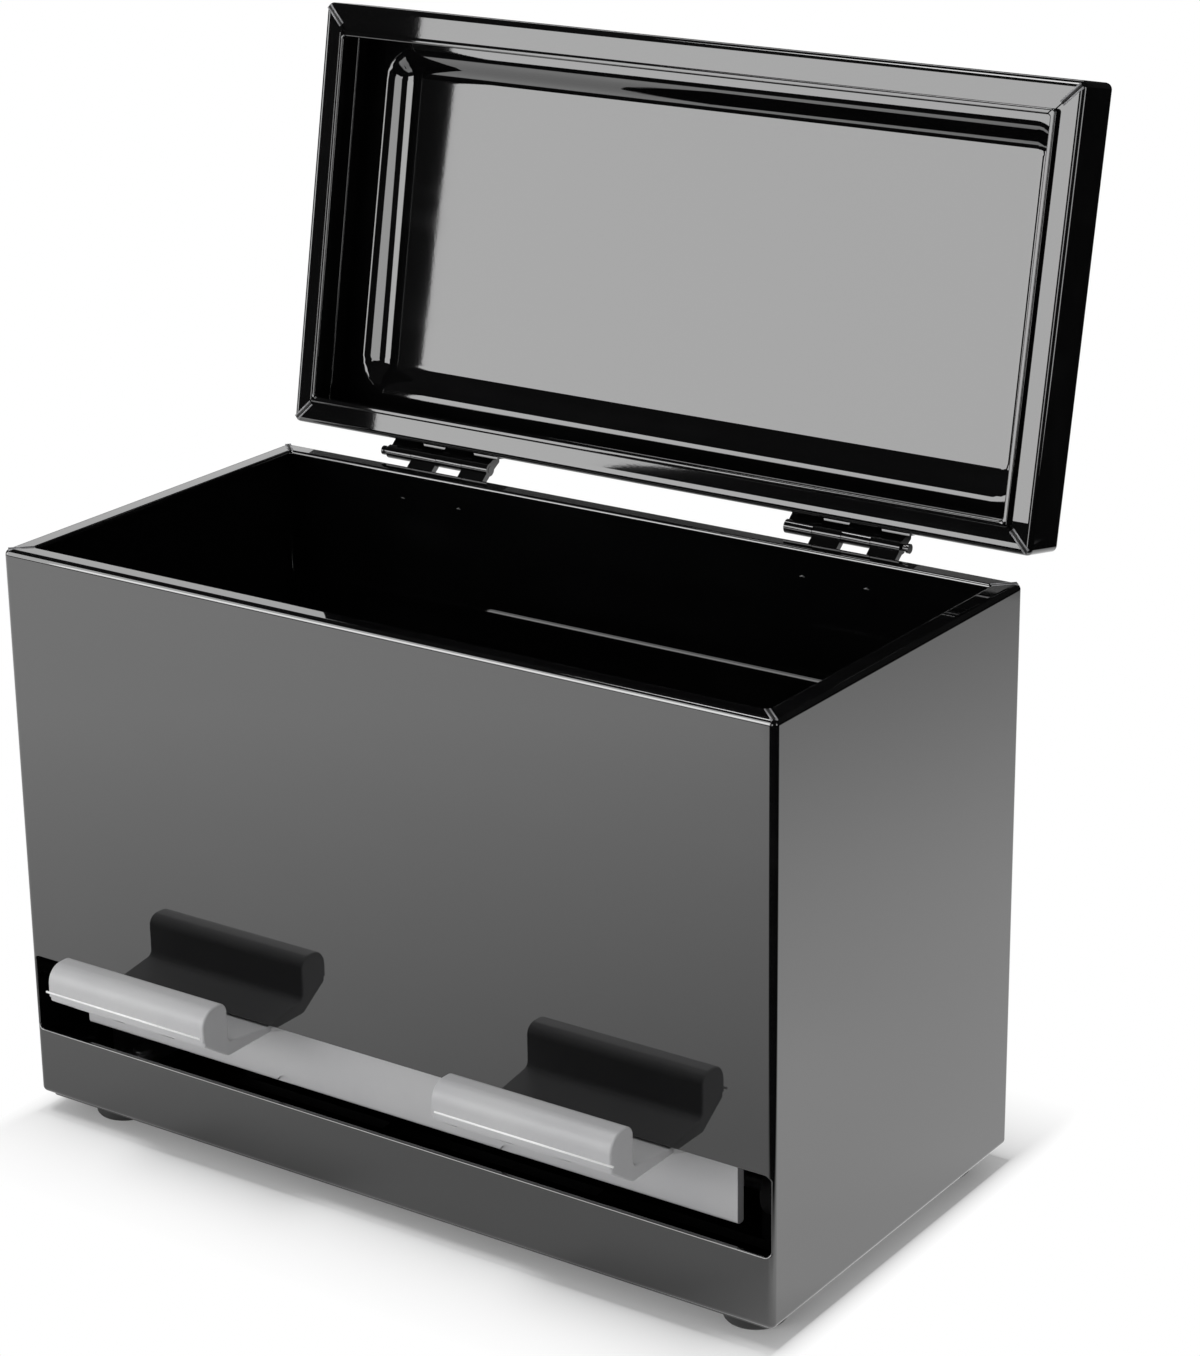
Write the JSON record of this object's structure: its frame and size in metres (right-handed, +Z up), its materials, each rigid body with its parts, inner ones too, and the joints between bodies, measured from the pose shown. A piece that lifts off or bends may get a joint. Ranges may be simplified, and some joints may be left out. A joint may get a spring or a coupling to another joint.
{
  "type": "pencil dispenser",
  "caption": "Sheet metal pencil dispenser with a hinged lid, shown open, a sloping hopper and a sprung rocker with hooks that hand out one pencil.",
  "frame": {"origin": "on the table, under the middle of the whole part's plan, from the tips of the hooks to the back of the open lid", "axes": "+X along the case to its right end, +Y from the front to the hinged back, +Z up"},
  "size_m": [0.22, 0.1698, 0.2636],
  "materials": {
    "black_paint": "gloss",
    "black_hinge": "gloss",
    "grey_plastic": "satin",
    "black_rubber": "matte",
    "zinc_steel": "satin",
    "white_nylon": "satin"
  },
  "bodies": {
    "case": {"case_shell": "black_paint", "base_plate": "black_paint", "hopper_front_ramp": "black_paint", "hopper_rear_ramp": "black_paint", "hinge_case_leaf_left": "black_hinge", "hinge_case_leaf_right": "black_hinge", "hinge_pin_left": "black_hinge", "hinge_pin_right": "black_hinge", "hinge_case_rivets_left": "black_paint", "hinge_case_rivets_right": "black_paint", "pivot_bracket_left": "zinc_steel", "pivot_bracket_right": "zinc_steel", "bracket_rivets_left": "zinc_steel", "bracket_rivets_right": "zinc_steel", "axle_bush_left": "white_nylon", "axle_bush_right": "white_nylon", "return_spring_left": "zinc_steel", "return_spring_right": "zinc_steel", "front_bumper_left": "black_rubber", "front_bumper_right": "black_rubber", "rear_bumper_left": "black_rubber", "rear_bumper_right": "black_rubber", "foot_front_left": "black_rubber", "foot_screw_front_left": "zinc_steel", "foot_front_right": "black_rubber", "foot_screw_front_right": "zinc_steel", "foot_rear_left": "black_rubber", "foot_screw_rear_left": "zinc_steel", "foot_rear_right": "black_rubber", "foot_screw_rear_right": "zinc_steel"},
    "lid": {"lid_shell": "black_paint", "hinge_lid_leaf_left": "black_hinge", "hinge_lid_leaf_right": "black_hinge", "hinge_lid_rivets_left": "black_paint", "hinge_lid_rivets_right": "black_paint"},
    "rocker": {"dispensing_rocker": "grey_plastic", "rocker_axle": "zinc_steel", "axle_clip_left": "zinc_steel", "axle_clip_right": "zinc_steel"}
  },
  "joints": [
    {"name": "lid_hinge", "type": "hinge", "parent": "case", "child": "lid", "pos_m": [0, 0.05064, 0.1523], "axis": [1, 0, 0], "range_deg": [0, 100.9]},
    {"name": "rocker_pivot", "type": "hinge", "parent": "case", "child": "rocker", "pos_m": [0, -0.02786, 0.0212], "axis": [1, 0, 0], "range_deg": [0, 18], "stiffness_Nm_per_rad": 0.1, "springref_deg": -25.78, "deforming": ["return_spring_left", "return_spring_right"]}
  ]
}
